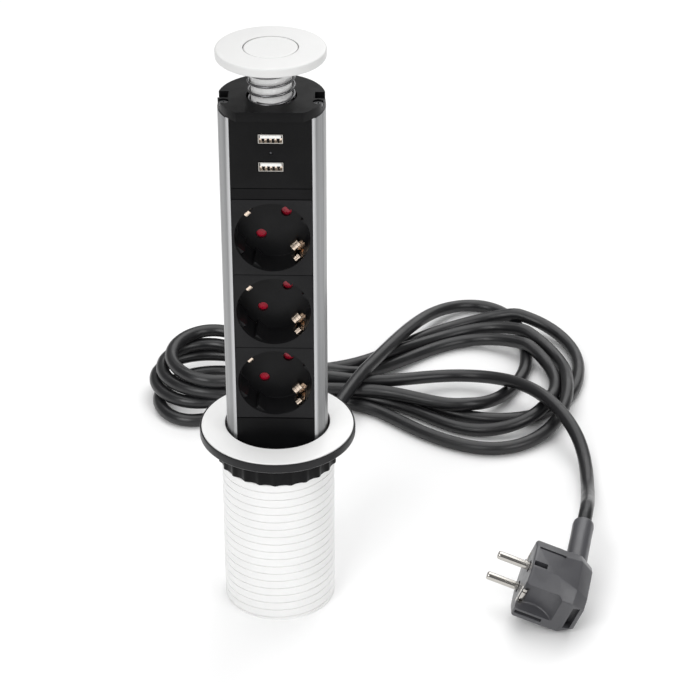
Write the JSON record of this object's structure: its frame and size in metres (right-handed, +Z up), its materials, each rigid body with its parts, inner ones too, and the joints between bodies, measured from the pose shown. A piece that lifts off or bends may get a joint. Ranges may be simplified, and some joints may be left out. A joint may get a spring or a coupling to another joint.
{
  "type": "pull-up desk power strip",
  "caption": "Round pull-up desk socket tower: sliding aluminium tower with earthed sockets and USB ports in a threaded sleeve with ring nut, sprung cap, mains cord and angled plug.",
  "frame": {"origin": "centre of the threaded sleeve's bottom rim, on the surface that the sleeve stands on", "axes": "+Z up along the tower's axis, -Y towards the user (the socket side), +X to the user's right"},
  "size_m": [0.29, 0.3857, 0.3386],
  "materials": {
    "white_plastic": "fine satin moulded white plastic",
    "black_plastic": "finely grained black moulded plastic",
    "black_rubber": "satin black soft plastic",
    "felt": "dark felt or woven strap",
    "aluminium": "satin anodised extrusion",
    "spring_steel": "bright drawn wire",
    "zinc_steel": "zinc plated",
    "nickel": "bright nickel plate",
    "brass": "stamped sheet",
    "red_shutter": "crimson moulded plastic",
    "port_white": "white insulator",
    "board_green": "solder-masked circuit board",
    "light_lens": "smoked lens",
    "wire_brown": "brown core insulation",
    "wire_blue": "blue core insulation",
    "wire_green": "green-yellow core insulation",
    "cord_black": "satin black cord jacket"
  },
  "bodies": {
    "base": {"threaded_sleeve": "white_plastic", "flange_ring": "black_rubber", "trim_ring": "white_plastic", "friction_ring": "felt", "cord_run": "cord_black", "cord_hank": "cord_black", "cord_tie": "felt", "cord_tail": "cord_black", "plug_body": "black_rubber", "plug_pin_1": "nickel", "plug_pin_2": "nickel", "plug_earth_contact_1": "nickel", "plug_earth_contact_2": "nickel", "plug_relief": "black_rubber"},
    "washer": {"clamp_washer": "black_rubber"},
    "nut": {"ring_nut": "black_plastic"},
    "tower": {"blank_panel": "black_plastic", "cap_spring": "spring_steel", "contact_insulator": "black_plastic", "cord_lead": "cord_black", "cord_relief": "black_rubber", "earth_rail": "brass", "earth_strap_1": "nickel", "earth_strap_2": "nickel", "earth_strap_3": "nickel", "earth_wire": "wire_green", "foot_screw_1": "zinc_steel", "foot_screw_2": "zinc_steel", "indicator_light": "light_lens", "live_rail": "brass", "live_wire": "wire_brown", "neutral_rail": "brass", "neutral_wire": "wire_blue", "socket_body_1": "black_plastic", "socket_body_2": "black_plastic", "socket_body_3": "black_plastic", "spacer_panel": "black_plastic", "top_plate": "black_plastic", "top_screw_1": "zinc_steel", "top_screw_2": "zinc_steel", "tower_foot": "black_plastic", "tower_profile": "aluminium", "usb_capacitor": "black_plastic", "usb_panel": "black_plastic", "usb_port_board": "board_green", "usb_power_board": "board_green", "usb_shell_1": "nickel", "usb_shell_2": "nickel", "usb_tongue_1": "port_white", "usb_tongue_2": "port_white", "usb_transformer": "port_white"},
    "cap": {"cap_disc": "white_plastic", "cap_insert": "white_plastic", "cap_neck": "white_plastic", "neck_clip": "zinc_steel"},
    "shutter_a": {"shutter_1": "red_shutter"},
    "shutter_b": {"shutter_2": "red_shutter"},
    "shutter_c": {"shutter_3": "red_shutter"}
  },
  "joints": [
    {"name": "tower_slide", "type": "slide", "parent": "base", "child": "tower", "axis": [0, 0, 1], "range_m": [-0.2102, 0]},
    {"name": "cap_press", "type": "slide", "parent": "tower", "child": "cap", "axis": [0, 0, 1], "range_m": [-0.0134, 0], "stiffness_N_per_m": 250, "springref_m": 0.008, "deforming": ["cap_spring"]},
    {"name": "washer_travel", "type": "slide", "parent": "base", "child": "washer", "axis": [0, 0, 1], "range_m": [-0.06, 0]},
    {"name": "nut_turn", "type": "hinge", "parent": "washer", "child": "nut", "pos_m": [0, 0, 0.0997], "axis": [0, 0, 1], "range_deg": [-4320, 0]},
    {"name": "shutter_turn_1", "type": "hinge", "parent": "tower", "child": "shutter_a", "pos_m": [0, 0.0034, 0.23805], "axis": [0, 1, 0], "range_deg": [0, 38], "stiffness_Nm_per_rad": 0.0004, "springref_deg": -17.19},
    {"name": "shutter_turn_2", "type": "hinge", "parent": "tower", "child": "shutter_b", "pos_m": [0, 0.0034, 0.19355], "axis": [0, 1, 0], "range_deg": [0, 38], "stiffness_Nm_per_rad": 0.0004, "springref_deg": -17.19},
    {"name": "shutter_turn_3", "type": "hinge", "parent": "tower", "child": "shutter_c", "pos_m": [0, 0.0034, 0.14905], "axis": [0, 1, 0], "range_deg": [0, 38], "stiffness_Nm_per_rad": 0.0004, "springref_deg": -17.19}
  ],
  "couplings": [
    {"joint": "nut_turn", "follows": "washer_travel", "rad_per_m": 1256.6}
  ]
}
